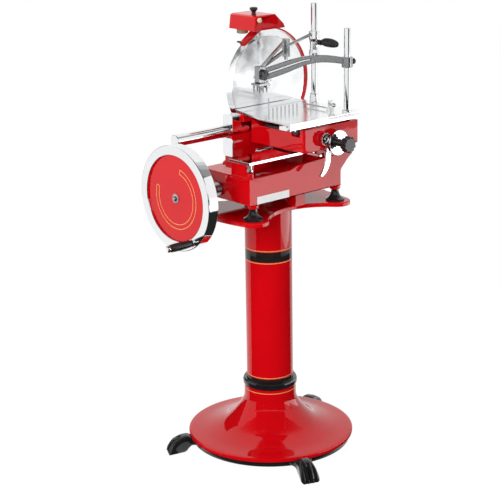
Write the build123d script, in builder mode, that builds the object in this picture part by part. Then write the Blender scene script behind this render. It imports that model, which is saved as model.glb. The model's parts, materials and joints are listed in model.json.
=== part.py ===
from build123d import *
import os
from math import atan2, cos, hypot, pi, radians, sin

os.makedirs("parts", exist_ok=True)

# Hand crank flywheel meat slicer on its pedestal stand. Millimetres, +Z up, floor at Z = 0.
# X runs along the guide rod and the flywheel shaft, with the flywheel at the -X end.
# Y runs along the blade's axis, with the operator at -Y.
# Places are measured from the column's axis, which stands at (column_x, column_y).
column_x = 66.0
column_y = 31.5

# ---- fits
running = 0.05            # radial clearance of a shaft in its bush
gap = 0.3                 # clearance between pieces that move past each other
bolt_clear = 0.5          # radial clearance of a bolt in its hole

# ---- stand
column_radius = 71.5
column_wall = 4.0
neck_z = 202.0            # where the column stands on the trumpet base
neck_radius = 80.0
throat_z = 165.0          # the trumpet meets its straight neck
rim_radius = 255.5
rim_z = 46.0
rim_height = 11.0
base_wall = 9.0
ring_radius = 247.0
ring_width = 14.0
ring_height = 18.0
collar_height = 22.0
collar_band = 12.0
paw_reach = 330.0
paw_angles = (152, 249, 20)
paw_half = 29.0
paw_ankle = 24.0
toe_slot = 3.0
stand_height = 779.0      # top of the star plate
plate_thickness = 12.0
lobe_x = 165.0
lobe_y = 122.0
lobe_radius = 43.0
plate_side = 222.0
plate_waist = 85.0
tie_radius = 8.0
nut_height = 12.0
nut_radius = 14.0

# ---- slicer base
foot_x = 164.0
foot_y = 119.0
foot_radius = 28.5
foot_height = 34.5
foot_neck = 11.0
stud_radius = 4.0
stud_head = 7.0
stud_reach = 8.0          # of a stud into the casting's leg
anchor_x = 36.0           # block under the casting that bolts down to the plate
anchor_y = -84.0
anchor_half = 20.0
base_front = -134.0
base_back = 134.0
ledge_y = 57.0            # the raised part of the casting ends here
base_left = -189.0
base_right = 174.0
base_flare = 222.0        # the right end flares out to here at its top
base_bottom = stand_height + 47
base_top = base_bottom + 79
base_high = base_top + 17         # the front wall's higher right part
ledge_top = base_top - 17
base_wall_thick = 9.0
pillar_radius = 11.0
plate_left = -162.0       # the bare plate on the front face
plate_right = -38.0
plate_low = base_bottom + 1
plate_high = plate_low + 22
trim = 1.2                # thickness of the bare plate

# ---- deck, rod and the wall under it
deck_left = -194.0
deck_right = 150.0
deck_front = -137.0
deck_back = -49.0
deck_top = base_top + 48
deck_thickness = 8.0
deck_stand = 34.0
rod_y = 76.0
rod_z = deck_top + 46
rod_radius = 18.0
rod_right = 214.0
wall_half = 17.0
wall_left = -86.0
wall_top = rod_z - 12
cover_thickness = 3.0

# ---- drive
shaft_z = base_bottom + 29           # height of the flywheel's shaft
shaft_radius = 12.0
bush_wall = 5.0
wheel_front = -356.0
wheel_width = 34.0
wheel_radius = 153.0
recess_radius = 125.0
recess_depth = 6.0
pin_orbit = 139.0
pin_angle = 233.8         # degrees round +X from +Y, where the crank stands at rest
pin_radius = 5.0
grip_length = 78.0
grip_radius = 12.0
collar_length = 10.0
end_cap = 7.0
cross_x = 98.0            # the cross shaft, and above it the blade's shaft
cross_radius = 10.0
large_teeth = 24
small_teeth = 12
gear_cone = 42.0
gear_face = 14.0
gear_tooth = 3.0
chain_y = 152.0
sprocket_width = 6.0
drive_teeth = 24
blade_teeth = 16
chain_pitch = 9.525
chain_thickness = 5.0

# ---- blade
blade_z = shaft_z + 260
blade_y = 107.0
blade_radius = 160.0
blade_bevel = 19.0
blade_thickness = 4.0
hub_radius = 18.0
flange_radius = 42.0
guard_gap = 1.8
guard_width = 5.0
guard_depth = 8.0
guard_end = -30.0         # degrees round the blade's axis, where the guard stops
upright_front = 119.0

# ---- carriage
car_left = -15.0
car_right = 206.0
car_front = -175.0
car_back = 54.0
car_bottom = deck_top + 4
front_wall_top = car_bottom + 69
side_wall_top = car_bottom + 55
car_wall = 20.0
carriage_travel = 200.0
saddle_length = 35.0
saddle_half = 21.0
beam_front = 45.0
beam_back = 85.0
beam_bottom = rod_z + 25
beam_top = beam_bottom + 22
beam_left = -52.0
rod_left = beam_left - saddle_length - carriage_travel - 2
block_front = -103.0      # the chrome guide blocks under the table
block_length = 34.0
bar_back = -8.0
bar_height = 8.0
table_roller_radius = 13.0
table_roller_y = -136.0
deck_roller_radius = 9.5
deck_roller_x = 60.0
deck_roller_y = -97.0
deck_roller_width = 14.0
link_y = 8.0
link_z = car_bottom - 17
link_left = -30.0
link_radius = 5.0
link_ball = 9.0

# ---- feed
screw_x = 104.0
screw_z = car_bottom + 18
screw_radius = 8.0
screw_end = 46.0
knob_radius = 24.0
knob_length = 20.0
knob_stand = 48.0         # from the carriage's front to the knob
feed_hub_radius = 11.0
yoke_radius = 37.0
yoke_thickness = 6.0
index_x = 62.0
index_z = screw_z + 15
index_radius = 19.0
index_teeth = 12
lever_x = 68.0
lever_z = screw_z - 29
lever_thickness = 6.0

# ---- meat table
table_left = -74.0
table_right = 216.0
table_front = -179.0
table_back = 53.0
table_top = beam_top + 6
sheet_thickness = 5.5
frame_height = 14.0
frame_bar = 16.0
table_travel = 120.0     # towards the operator
bridge_back = 100.0       # the fixed strip between the table and the blade
comb_count = 8
comb_left = -25.0
comb_pitch = 16.0
comb_y = -37.0
comb_height = 20.0
fence_x = 150.0
fence_y = -112.0
post_x = 173.0
tall_post_y = -22.0
short_post_y = -160.0
tall_post_top = table_top + 307
short_post_top = table_top + 246
post_radius = 10.0
socket_radius = 14.5
socket_height = 37.0

# ---- clamp
clamp_z = table_top + 146        # the arm's hub on the short post
sleeve_radius = 16.5
hub_height = 30.0
head_x = -44.0
head_z = clamp_z - 16
arm_depth = 22.0
arm_width = 12.0
clamp_low = clamp_z - 2
clamp_high = clamp_low + 80
paddle_z = clamp_low + 47
paddle_length = 70.0

# ---- sharpener
hood_left = -2.0
hood_right = 122.0
hood_front = 49.0
hood_back = 162.0
hood_bottom = blade_z + blade_radius + 9
hood_top = hood_bottom + 44
hood_wall = 4.0
stone_radius = 17.0
stone_x = 22.0
stone_y = 128.0
knob_x = 25.0              # the hood's knob
knob_y = 80.0
button_x = 14.0
button_z = hood_top - 12


def level(z, x=0.0, y=0.0):
    """A horizontal plane, its origin at (x, y) from the column's axis."""
    return Plane((column_x + x, column_y + y, z))


def across(x, y=0.0, z=0.0):
    """A plane square to X: its own x runs along Y and its y along Z."""
    return Plane(origin=(column_x + x, column_y + y, z), x_dir=(0, 1, 0), z_dir=(1, 0, 0))


def facing(y, x=0.0, z=0.0):
    """A plane square to Y, seen from the front: its x runs along X, its y along Z, its normal to -Y."""
    return Plane(origin=(column_x + x, column_y + y, z), x_dir=(1, 0, 0), z_dir=(0, -1, 0))


def block(x0, x1, y0, y1, z0, z1, mode=Mode.ADD):
    """A box between two corners."""
    with BuildSketch(level(z0, (x0 + x1) / 2, (y0 + y1) / 2)) as outline:
        Rectangle(x1 - x0, y1 - y0)
    extrude(outline.sketch, amount=z1 - z0, mode=mode)


def bar(plane, radius, length, mode=Mode.ADD):
    """A round bar that starts on the plane and runs along its normal."""
    with BuildSketch(plane) as outline:
        Circle(radius)
    extrude(outline.sketch, amount=length, mode=mode)


def tube(plane, outer, inner, length):
    """A tube that starts on the plane and runs along its normal."""
    with BuildSketch(plane) as outline:
        Circle(outer)
        Circle(inner, mode=Mode.SUBTRACT)
    extrude(outline.sketch, amount=length)


def hexagon(plane, radius, length, bore=0.0):
    """A hexagonal nut or bolt head on the plane."""
    with BuildSketch(plane) as outline:
        RegularPolygon(radius, 6)
        if bore:
            Circle(bore, mode=Mode.SUBTRACT)
    extrude(outline.sketch, amount=length)


def spun(x, y, z, direction, *points):
    """A turned piece: points are (radius, distance along the axis from (x, y, z))."""
    side = (0, 0, 1) if direction[2] == 0 else (1, 0, 0)
    origin = (column_x + x, column_y + y, z)
    along = Vector(*direction)
    with BuildSketch(Plane(origin=origin, x_dir=side, z_dir=Vector(*side).cross(along))) as outline:
        with BuildLine():
            Polyline(*points, close=True)
        make_face()
    revolve(outline.sketch, axis=Axis(origin, direction))


def ball(x, y, z, radius):
    """A ball, turned about X."""
    origin = (column_x + x, column_y + y, z)
    with BuildSketch(Plane(origin=origin, x_dir=(1, 0, 0), z_dir=(0, -1, 0))) as outline:
        with BuildLine():
            ThreePointArc((-radius, 0), (0, radius), (radius, 0))
            Line((radius, 0), (-radius, 0))
        make_face()
    revolve(outline.sketch, axis=Axis(origin, (1, 0, 0)))


def keep(part, name):
    """Label a finished piece and write it."""
    part.part.label = name
    export_step(part.part, f"parts/{name}.step")


# ================================================================ stand

sole_cut = 3.0
# Half width, low and high edge of a paw at each distance from the column's axis
paw_sections = (
    (228.0, 40.0, rim_z - ring_height, rim_z),
    (ring_radius, 36.0, rim_z - ring_height, rim_z),
    (262.0, paw_ankle, 20.0, 57.0),
    (286.0, paw_ankle, -sole_cut, 56.0),
    (310.0, paw_half - 1, -sole_cut, 41.0),
    (paw_reach, paw_half, -sole_cut, 13.0),
)
with BuildPart() as paw_feet:
    for angle in paw_angles:
        out = (cos(radians(angle)), sin(radians(angle)), 0)
        side = (-sin(radians(angle)), cos(radians(angle)), 0)
        for inner, outer in zip(paw_sections, paw_sections[1:]):
            for reach, half, low, high in (inner, outer):
                start = (column_x + reach * out[0], column_y + reach * out[1], (low + high) / 2)
                with BuildSketch(Plane(origin=start, x_dir=side, z_dir=out)):
                    RectangleRounded(2 * half, high - low, 5.5)
            loft(ruled=True)
        for toe in (-1, 0, 1):
            spot = toe * paw_half / 2
            start = (
                column_x + (paw_reach - 16) * out[0] + spot * side[0],
                column_y + (paw_reach - 16) * out[1] + spot * side[1],
                0,
            )
            with BuildSketch(Plane(origin=start, x_dir=out, z_dir=(0, 0, 1))):
                Rectangle(20, toe_slot, align=(Align.MIN, Align.CENTER))
            extrude(amount=rim_z, mode=Mode.SUBTRACT)
    tube(level(rim_z - ring_height), ring_radius, ring_radius - ring_width, ring_height)
    bar(level(rim_z), rim_radius + gap, rim_height * 2, mode=Mode.SUBTRACT)
    # Soles cut flat at the floor
    bar(level(-2 * sole_cut), 2 * paw_reach, 2 * sole_cut, mode=Mode.SUBTRACT)
keep(paw_feet, "paw_feet")

with BuildPart() as pedestal_base:
    with BuildSketch(facing(0)):
        with BuildLine():
            Polyline((rim_radius, rim_z), (rim_radius, rim_z + rim_height - 4))
            Spline(
                (rim_radius, rim_z + rim_height - 4),
                (rim_radius - 5, rim_z + rim_height),
                (200, 62.5),
                (148, 79),
                (120, 105),
                (96, 135),
                (neck_radius, throat_z),
                tangents=((0, 1), (-0.25, 1)),
            )
            Polyline(
                (neck_radius, throat_z),
                (neck_radius, neck_z),
                (tie_radius + bolt_clear, neck_z),
                (tie_radius + bolt_clear, neck_z - base_wall),
                (neck_radius - base_wall, neck_z - base_wall),
                (neck_radius - base_wall, throat_z - 2),
            )
            Spline(
                (neck_radius - base_wall, throat_z - 2),
                (110, 96),
                (143, 68),
                (200, 52),
                (rim_radius - 2 * base_wall, rim_z),
                tangents=((0.25, -1), (1, -0.2)),
            )
            Line((rim_radius - 2 * base_wall, rim_z), (rim_radius, rim_z))
        make_face()
    revolve(axis=Axis((column_x, column_y, 0), (0, 0, 1)))
keep(pedestal_base, "pedestal_base")

with BuildPart() as neck_ring:
    collar_edge = neck_radius + 2
    with BuildSketch(facing(0)):
        with BuildLine():
            Polyline(
                (collar_edge - 4, neck_z),
                (column_radius + gap, neck_z),
                (column_radius + gap, neck_z + collar_height + collar_band),
                (column_radius + 1.5, neck_z + collar_height + collar_band),
                (column_radius + 1.5, neck_z + collar_height),
                (collar_edge - 4, neck_z + collar_height),
            )
            ThreePointArc(
                (collar_edge - 4, neck_z + collar_height),
                (collar_edge + 2, neck_z + collar_height / 2),
                (collar_edge - 4, neck_z),
            )
        make_face()
    revolve(axis=Axis((column_x, column_y, 0), (0, 0, 1)))
keep(neck_ring, "neck_ring")

plate_z = stand_height - plate_thickness
with BuildPart() as column:
    tube(level(neck_z), column_radius, column_radius - column_wall, plate_z - neck_z)
keep(column, "column")

with BuildPart() as tie_rod:
    bar(level(neck_z - base_wall - 2 * nut_height), tie_radius,
        stand_height + 2 * nut_height - neck_z + base_wall + nut_height)
    hexagon(level(stand_height), nut_radius, nut_height)
    hexagon(level(neck_z - base_wall - nut_height), nut_radius, nut_height)
keep(tie_rod, "tie_rod")

# The star plate's long edges are hollow arcs, tangent to the round lobe at each corner
waist = lobe_y - plate_waist
hollow = (lobe_x**2 + waist**2 - lobe_radius**2) / (2 * (lobe_radius + waist))
lean = atan2(plate_waist + hollow - lobe_y, lobe_x)
tangent_x = lobe_x - lobe_radius * cos(lean)
tangent_y = lobe_y + lobe_radius * sin(lean)
turn = (pi - lean) / 2
bulge_x = lobe_x + lobe_radius * cos(turn)
bulge_y = lobe_y + lobe_radius * sin(turn)
lobe_side = lobe_x + lobe_radius
with BuildPart() as star_plate:
    with BuildSketch(level(plate_z)):
        with BuildLine():
            for way in (1, -1):
                ThreePointArc(
                    (-tangent_x, way * tangent_y), (0, way * plate_waist), (tangent_x, way * tangent_y))
                for hand in (1, -1):
                    ThreePointArc(
                        (hand * tangent_x, way * tangent_y),
                        (hand * bulge_x, way * bulge_y),
                        (hand * lobe_side, way * lobe_y),
                    )
            for hand in (1, -1):
                ThreePointArc((hand * lobe_side, -lobe_y), (hand * plate_side, 0), (hand * lobe_side, lobe_y))
        make_face()
        Circle(tie_radius + bolt_clear, mode=Mode.SUBTRACT)
        with GridLocations(2 * foot_x, 2 * foot_y, 2, 2):
            Circle(stud_radius + bolt_clear, mode=Mode.SUBTRACT)
    extrude(amount=plate_thickness)
    rims = star_plate.edges().filter_by(lambda edge: edge.length > 6 * tie_radius + 4)
    fillet(rims.group_by(Axis.Z)[-1], 3)
keep(star_plate, "star_plate")

# ================================================================ slicer base

leg_z = stand_height + foot_height
with BuildPart() as bell_feet:
    for x in (-foot_x, foot_x):
        for y in (-foot_y, foot_y):
            with BuildSketch(facing(y, x)):
                with BuildLine():
                    Polyline(
                        (0, stand_height + foot_height),
                        (0, stand_height),
                        (foot_radius, stand_height),
                        (foot_radius, stand_height + 5),
                    )
                    ThreePointArc(
                        (foot_radius, stand_height + 5),
                        (foot_neck + 4, stand_height + 13),
                        (foot_neck, stand_height + foot_height),
                    )
                    Line((foot_neck, stand_height + foot_height), (0, stand_height + foot_height))
                make_face()
            revolve(axis=Axis((column_x + x, column_y + y, 0), (0, 0, 1)))
            hexagon(level(plate_z - stud_head, x, y), 2 * stud_radius, stud_head)
            bar(level(plate_z, x, y), stud_radius, leg_z - plate_z + stud_reach)
keep(bell_feet, "bell_feet")

pillar_top = base_high - 2
step_left = -33.0
step_right = -6.0
flare_z = base_bottom + 38
with BuildPart() as base_housing:
    # The raised front part, its right end sweeping out towards the top
    with BuildSketch(facing(ledge_y)):
        with BuildLine():
            Polyline((base_right, flare_z), (base_right, base_bottom), (base_left, base_bottom),
                     (base_left, base_top), (base_flare - 14, base_top))
            Spline((base_right, flare_z), (base_right + 12, base_top - 21), (base_flare - 14, base_top),
                   tangents=((0, 1), (1, 0.75)))
        make_face()
    extrude(amount=ledge_y - base_front)
    # The front wall stands higher than the floor behind it on the right
    with BuildSketch(facing(base_front + base_wall_thick)):
        with BuildLine():
            Polyline((base_flare - 14, base_top), (step_left, base_top), (step_right, base_high - 8),
                     (step_right + 8, base_high - 8), (base_flare - 16, base_high + 3))
            Spline((base_flare - 16, base_high + 3), (base_flare, base_high - 4), (base_flare - 14, base_top),
                   tangents=((1, 0), (-1, -0.75)))
        make_face()
    extrude(amount=base_wall_thick)
    block(base_left, base_right, ledge_y, base_back, base_bottom, ledge_top)
    # Hollow from below
    inset = base_wall_thick
    block(base_left + inset, base_right - inset, base_front + inset, ledge_y, base_bottom,
          base_top - inset, mode=Mode.SUBTRACT)
    block(base_left + inset, base_right - inset, ledge_y, base_back - inset, base_bottom,
          ledge_top - inset, mode=Mode.SUBTRACT)
    # Corner pillar, leg pads and the two stands that carry the deck
    bar(level(base_bottom, base_left + pillar_radius, base_front + pillar_radius), pillar_radius,
        pillar_top - base_bottom)
    for x in (-foot_x, foot_x):
        for y in (-foot_y, foot_y):
            bar(level(leg_z, x, y), foot_neck + 5, base_bottom - leg_z)
            bar(level(base_bottom, x, y), foot_neck + 3, base_wall_thick * 2)
            bar(level(leg_z, x, y), stud_radius + bolt_clear, stud_reach + 1, mode=Mode.SUBTRACT)
    block(anchor_x - anchor_half, anchor_x + anchor_half, anchor_y - anchor_half, anchor_y + anchor_half,
          stand_height, base_top - inset)
    for x in (deck_left + 9, deck_right - deck_stand - 20):
        block(x, x + deck_stand, deck_front + 26, deck_back, base_top, deck_top - deck_thickness)
    # Shaft bores
    bar(across(base_left - 1, 0, shaft_z), shaft_radius + bush_wall, inset + 2, mode=Mode.SUBTRACT)
    bar(facing(base_back + 1, cross_x, shaft_z), cross_radius + bush_wall, inset + 2, mode=Mode.SUBTRACT)
    bearing_x = cross_x - gear_cone - 10
    block(bearing_x - 14, bearing_x, -24, 24, shaft_z - 24, base_top - inset)
    bar(across(bearing_x - 15, 0, shaft_z), shaft_radius + bush_wall, 16, mode=Mode.SUBTRACT)
keep(base_housing, "base_housing")

with BuildPart() as name_plate:
    block(plate_left, plate_right, base_front - trim, base_front, plate_low, plate_high)
keep(name_plate, "name_plate")

with BuildPart() as deck_plate:
    block(deck_left, deck_right, deck_front, deck_back, deck_top - deck_thickness, deck_top)
    fillet(deck_plate.edges().filter_by(Axis.Z), 4)
    # Its front corner stands on a short ball-footed pillar
    pillar_rise = deck_top - deck_thickness - pillar_top
    spun(base_left + pillar_radius, base_front + pillar_radius, pillar_top, (0, 0, 1),
         (0, 0), (6.5, 0), (9, 4), (9, 9), (6, 12), (6, pillar_rise), (0, pillar_rise))
keep(deck_plate, "deck_plate")

with BuildPart() as rod_wall:
    # A casting with a foot on the ledge and a narrow cradle under the rod
    with BuildSketch(across(wall_left, rod_y, 0)):
        with BuildLine():
            Polyline(
                (-wall_half, ledge_top),
                (wall_half + 12, ledge_top),
                (wall_half + 12, ledge_top + 12),
                (wall_half, ledge_top + 20),
                (wall_half, wall_top - 12),
                (wall_half - 3, wall_top),
                (3 - wall_half, wall_top),
                (-wall_half, wall_top - 12),
                close=True,
            )
        make_face()
    extrude(amount=rod_right - wall_left)
    bar(across(wall_left, rod_y, rod_z), rod_radius, rod_right - wall_left, mode=Mode.SUBTRACT)
    block(base_right, rod_right, rod_y - wall_half - 1, rod_y + wall_half + 13, ledge_top, ledge_top + 40,
          mode=Mode.SUBTRACT)
keep(rod_wall, "rod_wall")

with BuildPart() as wall_cover:
    block(wall_left - cover_thickness, wall_left, rod_y - wall_half - 4, rod_y + wall_half + 4,
          ledge_top + 34, wall_top - 10)
    fillet(wall_cover.edges().filter_by(Axis.X), 4)
keep(wall_cover, "wall_cover")

with BuildPart() as guide_rod:
    bar(across(rod_left, rod_y, rod_z), rod_radius, rod_right - rod_left)
    chamfer(guide_rod.edges(), 1.5)
keep(guide_rod, "guide_rod")

upright_thickness = base_back - upright_front
arm_half = 40.0
skirt_half = 72.0
skirt_top = blade_z - 75
with BuildPart() as blade_upright:
    with BuildSketch(facing(base_back, cross_x)):
        with BuildLine():
            for hand in (1, -1):
                Line((0, ledge_top), (hand * skirt_half, ledge_top))
                ThreePointArc((hand * skirt_half, ledge_top), (hand * (arm_half + 8), ledge_top + 72),
                              (hand * arm_half, skirt_top))
                Line((hand * arm_half, skirt_top), (hand * arm_half, hood_bottom - 22))
                ThreePointArc((hand * arm_half, hood_bottom - 22), (hand * (arm_half - 4), hood_bottom - 8),
                              (hand * 24, hood_bottom))
                Line((hand * 24, hood_bottom), (0, hood_bottom))
        make_face()
        with Locations((0, blade_z)):
            Circle(54)
    extrude(amount=upright_thickness)
    bar(facing(base_back + 1, cross_x, blade_z), cross_radius + bush_wall, upright_thickness + 2,
        mode=Mode.SUBTRACT)
keep(blade_upright, "blade_upright")

guard_inner = blade_radius + guard_gap
guard_outer = guard_inner + guard_width
guard_back = blade_y + guard_depth / 2
with BuildPart() as blade_guard:
    with BuildSketch(facing(guard_back, cross_x, blade_z)):
        with BuildLine():
            for radius in (guard_inner, guard_outer):
                CenterArc((0, 0), radius, guard_end, 105 - guard_end)
            for angle in (guard_end, 105):
                Line(
                    (guard_inner * cos(radians(angle)), guard_inner * sin(radians(angle))),
                    (guard_outer * cos(radians(angle)), guard_outer * sin(radians(angle))),
                )
        make_face()
    extrude(amount=guard_depth)
    # Lug that bolts to the upright
    with BuildSketch(facing(upright_front, cross_x, blade_z)):
        with BuildLine():
            lug_half = 20.0
            Polyline((-lug_half, guard_inner), (-lug_half, hood_bottom - blade_z - gap),
                     (lug_half, hood_bottom - blade_z - gap), (lug_half, guard_inner), close=True)
        make_face()
    extrude(amount=upright_front - guard_back)
keep(blade_guard, "blade_guard")

# ================================================================ drive

with BuildPart() as flywheel_rim:
    spun(wheel_front, 0, shaft_z, (1, 0, 0),
         (wheel_radius - 3, 0), (wheel_radius, 3), (wheel_radius, wheel_width - 3),
         (wheel_radius - 3, wheel_width), (recess_radius + 4, wheel_width), (recess_radius, wheel_width - 4),
         (recess_radius, recess_depth + 6), (recess_radius - 8, recess_depth + 6),
         (recess_radius - 8, recess_depth + 4), (recess_radius, recess_depth + 4), (recess_radius, 1),
         (recess_radius + 1, 0))
    pin_y = pin_orbit * cos(radians(pin_angle))
    pin_z = shaft_z + pin_orbit * sin(radians(pin_angle))
    bar(across(wheel_front, pin_y, pin_z), pin_radius, wheel_width * 0.6, mode=Mode.SUBTRACT)
keep(flywheel_rim, "flywheel_rim")

with BuildPart() as flywheel_disc:
    disc_front = wheel_front + recess_depth
    spun(disc_front, 0, shaft_z, (1, 0, 0),
         (shaft_radius, 0), (recess_radius - gap, 0), (recess_radius - gap, 4), (recess_radius - 9, 4),
         (recess_radius - 9, 12), (34, 12), (30, wheel_width - recess_depth + 4),
         (shaft_radius, wheel_width - recess_depth + 4))
keep(flywheel_disc, "flywheel_disc")

def bevel_gear(x, y, z, direction, teeth, mate, bore):
    """A bevel gear whose cone's tip is at (x, y, z), its teeth cut in the cone's face."""
    cone = atan2(teeth, mate)
    far = gear_cone
    near = gear_cone - gear_face
    back_x = far * sin(cone) - gap * cos(cone)
    front_x = near * sin(cone) - gap * cos(cone)
    back_d = far * cos(cone) + gap * sin(cone)
    front_d = near * cos(cone) + gap * sin(cone)
    spun(x, y, z, direction,
         (bore, front_d), (front_x, front_d), (back_x, back_d), (back_x - 2, back_d + 6), (bore, back_d + 6))
    along = Vector(*direction)
    side = Vector(0, 0, 1)
    for tooth in range(teeth):
        around = side.rotate(Axis((0, 0, 0), direction), (tooth + 0.5) * 360 / teeth)
        start = Vector(column_x + x, column_y + y, z) + along * back_d + around * back_x
        slope = (along * cos(cone) + around * sin(cone)).normalized()
        outward = (around * cos(cone) - along * sin(cone)).normalized()
        with BuildSketch(Plane(origin=start, x_dir=outward, z_dir=-slope)) as groove:
            Rectangle(2 * gear_tooth, pi * back_x / teeth * 0.7)
        extrude(groove.sketch, amount=gear_face + 8, both=True, mode=Mode.SUBTRACT)


def sprocket(z, teeth):
    """A chain wheel round the cross or blade shaft, with the teeth's gaps cut in its edge."""
    pitch_radius = chain_pitch / (2 * sin(pi / teeth))
    with BuildSketch(facing(chain_y + sprocket_width / 2, cross_x, z)) as outline:
        Circle(pitch_radius)
        Circle(cross_radius - 1, mode=Mode.SUBTRACT)
        with PolarLocations(pitch_radius, teeth):
            Circle(chain_pitch * 0.3, mode=Mode.SUBTRACT)
    extrude(outline.sketch, amount=sprocket_width)
    tube(facing(chain_y - sprocket_width / 2, cross_x, z), cross_radius + 6, cross_radius - 1, 5)


gear_front = cross_x - gear_cone * cos(atan2(large_teeth, small_teeth))
with BuildPart() as main_shaft:
    bar(across(disc_front, 0, shaft_z), shaft_radius, gear_front - disc_front - 3)
    spun(base_left - gap, 0, shaft_z, (-1, 0, 0),
         (shaft_radius - 1, 0), (shaft_radius + 8, 0), (shaft_radius + 8, 8), (shaft_radius - 1, 8))
    spun(disc_front, 0, shaft_z, (-1, 0, 0), (0, 0), (14, 0), (14, 2), (7, 3), (7, 7), (5, 9), (0, 9))
    bevel_gear(cross_x, 0, shaft_z, (-1, 0, 0), large_teeth, small_teeth, shaft_radius - 1)
keep(main_shaft, "main_shaft")

with BuildPart() as cross_shaft:
    bevel_gear(cross_x, 0, shaft_z, (0, 1, 0), small_teeth, large_teeth, cross_radius - 1)
    cross_start = gear_cone * cos(atan2(small_teeth, large_teeth)) - gear_face + 2
    bar(facing(cross_start, cross_x, shaft_z), cross_radius, -(chain_y + 9 - cross_start))
    sprocket(shaft_z, drive_teeth)
keep(cross_shaft, "cross_shaft")

# The chain, as one closed band just clear of both chain wheels
low_radius = chain_pitch / (2 * sin(pi / drive_teeth)) + gap
high_radius = chain_pitch / (2 * sin(pi / blade_teeth)) + gap
chain_rise = blade_z - shaft_z
tilt = atan2(low_radius - high_radius, chain_rise)
with BuildPart() as drive_chain:
    with BuildSketch(facing(chain_y + 5, cross_x, shaft_z)):
        for grow, mode in ((chain_thickness, Mode.ADD), (0.0, Mode.SUBTRACT)):
            with BuildLine():
                low = low_radius + grow
                high = high_radius + grow
                ThreePointArc(
                    (low * cos(tilt), low * sin(tilt)), (0, -low), (-low * cos(tilt), low * sin(tilt)))
                ThreePointArc(
                    (high * cos(tilt), chain_rise + high * sin(tilt)), (0, chain_rise + high),
                    (-high * cos(tilt), chain_rise + high * sin(tilt)))
                for hand in (1, -1):
                    Line((hand * low * cos(tilt), low * sin(tilt)),
                         (hand * high * cos(tilt), chain_rise + high * sin(tilt)))
            make_face(mode=mode)
    extrude(amount=10)
keep(drive_chain, "drive_chain")

with BuildPart() as chain_cover:
    cover_back = chain_y + 16
    cover_wall = 3.0
    outer_and_inner = ((cover_wall, cover_back, Mode.ADD), (0.0, cover_back - cover_wall, Mode.SUBTRACT))
    for grow, back, mode in outer_and_inner:
        with BuildSketch(facing(back, cross_x, shaft_z)):
            with BuildLine():
                low = low_radius + chain_thickness + 6 + grow
                high = high_radius + chain_thickness + 6 + grow
                ThreePointArc((low, 0), (0, -low), (-low, 0))
                ThreePointArc((high, chain_rise), (0, chain_rise + high), (-high, chain_rise))
                for hand in (1, -1):
                    Line((hand * low, 0), (hand * high, chain_rise))
            make_face()
        extrude(amount=back - base_back, mode=mode)
keep(chain_cover, "chain_cover")

with BuildPart() as shaft_bushes:
    tube(across(base_left, 0, shaft_z), shaft_radius + bush_wall, shaft_radius + running, base_wall_thick)
    tube(across(bearing_x - 14, 0, shaft_z), shaft_radius + bush_wall, shaft_radius + running, 14)
    tube(facing(base_back, cross_x, shaft_z), cross_radius + bush_wall, cross_radius + running,
         base_wall_thick)
    tube(facing(base_back, cross_x, blade_z), cross_radius + bush_wall, cross_radius + running,
         upright_thickness)
keep(shaft_bushes, "shaft_bushes")

# Crank pin and the grip that turns on it
cap_start = collar_length + grip_length + 2 * gap
with BuildPart() as crank_pin:
    spun(wheel_front, pin_y, pin_z, (-1, 0, 0),
         (0, -wheel_width * 0.5), (pin_radius, -wheel_width * 0.5), (pin_radius, 0), (9, 0),
         (11, collar_length), (pin_radius, collar_length), (pin_radius, cap_start),
         (grip_radius - 3, cap_start),
         (grip_radius - 2, cap_start + 3), (grip_radius - 6, cap_start + end_cap), (0, cap_start + end_cap))
keep(crank_pin, "crank_pin")

with BuildPart() as crank_grip:
    start = collar_length + gap
    spun(wheel_front, pin_y, pin_z, (-1, 0, 0),
         (pin_radius + running, start), (grip_radius - 3, start), (grip_radius - 1, start + 8),
         (grip_radius, start + 40), (grip_radius - 1, start + grip_length - 4),
         (grip_radius - 3, start + grip_length), (pin_radius + running, start + grip_length))
keep(crank_grip, "crank_grip")

# ================================================================ blade

blade_front = blade_y - blade_thickness / 2
blade_rear = blade_y + blade_thickness / 2
with BuildPart() as blade:
    spun(cross_x, blade_rear, blade_z, (0, -1, 0),
         (cross_radius, 0), (blade_radius - 2, 0), (blade_radius, 0.6), (blade_radius - blade_bevel, 3.2),
         (blade_radius - blade_bevel - 1, blade_thickness), (cross_radius, blade_thickness))
keep(blade, "blade")

with BuildPart() as hub_nut:
    spun(cross_x, blade_front, blade_z, (0, -1, 0),
         (0, 0), (hub_radius, 0), (hub_radius, 3), (hub_radius - 3, 6), (hub_radius - 7, 6),
         (hub_radius - 8, 4), (6, 4), (6, 8), (0, 8))
    for place in range(3):
        angle = radians(place * 120 - 84)
        spun(cross_x + 55 * cos(angle), blade_front, blade_z + 55 * sin(angle), (0, -1, 0),
             (0, 0), (4.5, 0), (4.5, 1), (3, 2), (0, 2))
keep(hub_nut, "hub_nut")

with BuildPart() as blade_shaft:
    bar(facing(blade_front, cross_x, blade_z), cross_radius, -(chain_y + 9 - blade_front))
    spun(cross_x, blade_rear, blade_z, (0, 1, 0),
         (cross_radius - 1, 0), (flange_radius, 0), (flange_radius, 5),
         (cross_radius + 4, upright_front - blade_rear - gap),
         (cross_radius - 1, upright_front - blade_rear - gap))
    sprocket(blade_z, blade_teeth)
keep(blade_shaft, "blade_shaft")

# ================================================================ carriage

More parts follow.
